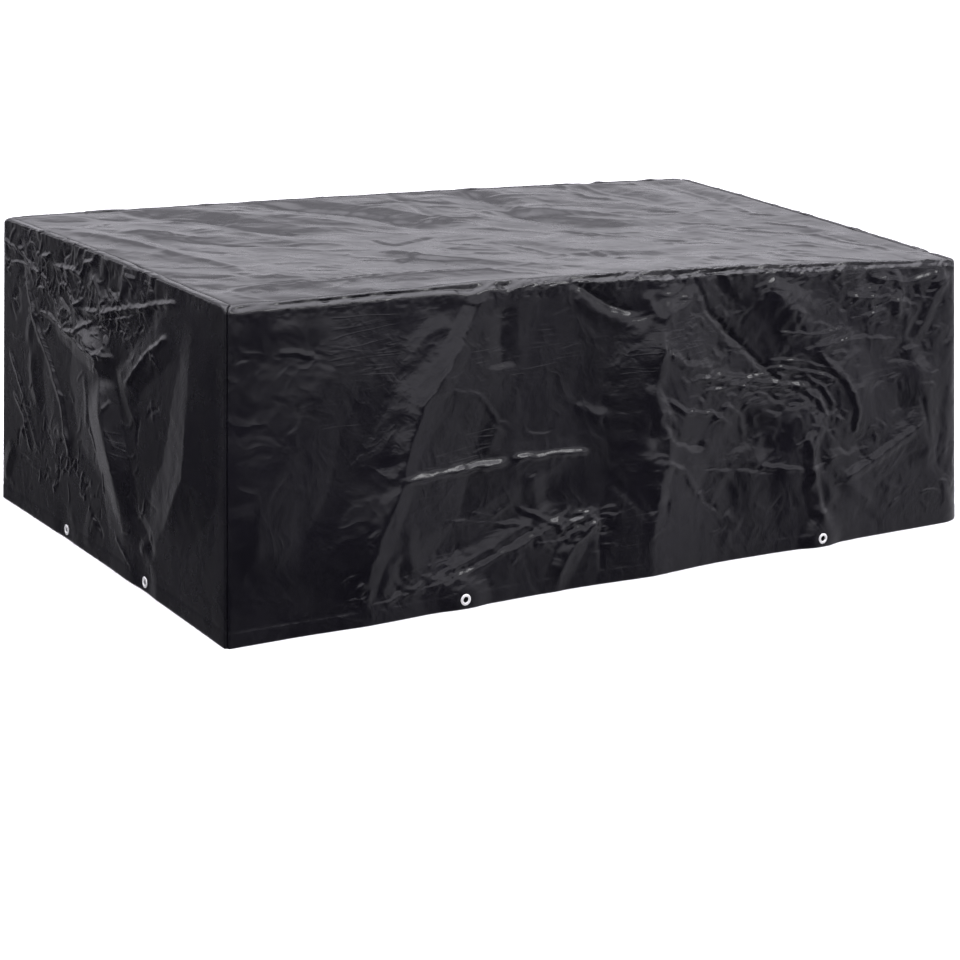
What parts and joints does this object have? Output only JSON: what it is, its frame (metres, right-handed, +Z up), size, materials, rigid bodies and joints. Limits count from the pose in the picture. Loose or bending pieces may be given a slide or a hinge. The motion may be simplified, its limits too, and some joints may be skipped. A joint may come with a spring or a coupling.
{
  "type": "patio furniture cover",
  "caption": "Fitted weather cover for a garden furniture set: a sewn box of dark woven cloth, open below, with eyelets along its hem for tying down.",
  "frame": {"origin": "on the floor, at the middle of the cover's box in plan", "axes": "+X along the long front to the right, +Y to the back, +Z up"},
  "size_m": [2.4354, 1.5134, 0.826],
  "materials": {
    "cover_cloth": "woven polyethylene sheet, satin, creased",
    "eyelet_metal": "satin pressed metal"
  },
  "bodies": {
    "root": {"top_panel": "cover_cloth", "front_panel": "cover_cloth", "right_panel": "cover_cloth", "back_panel": "cover_cloth", "left_panel": "cover_cloth", "hem_front": "cover_cloth", "hem_right": "cover_cloth", "hem_back": "cover_cloth", "hem_left": "cover_cloth", "eyelet_front_left": "eyelet_metal", "eyelet_front_right": "eyelet_metal", "eyelet_right_front": "eyelet_metal", "eyelet_right_rear": "eyelet_metal", "eyelet_back_right": "eyelet_metal", "eyelet_back_left": "eyelet_metal", "eyelet_left_rear": "eyelet_metal", "eyelet_left_front": "eyelet_metal"}
  },
  "joints": []
}
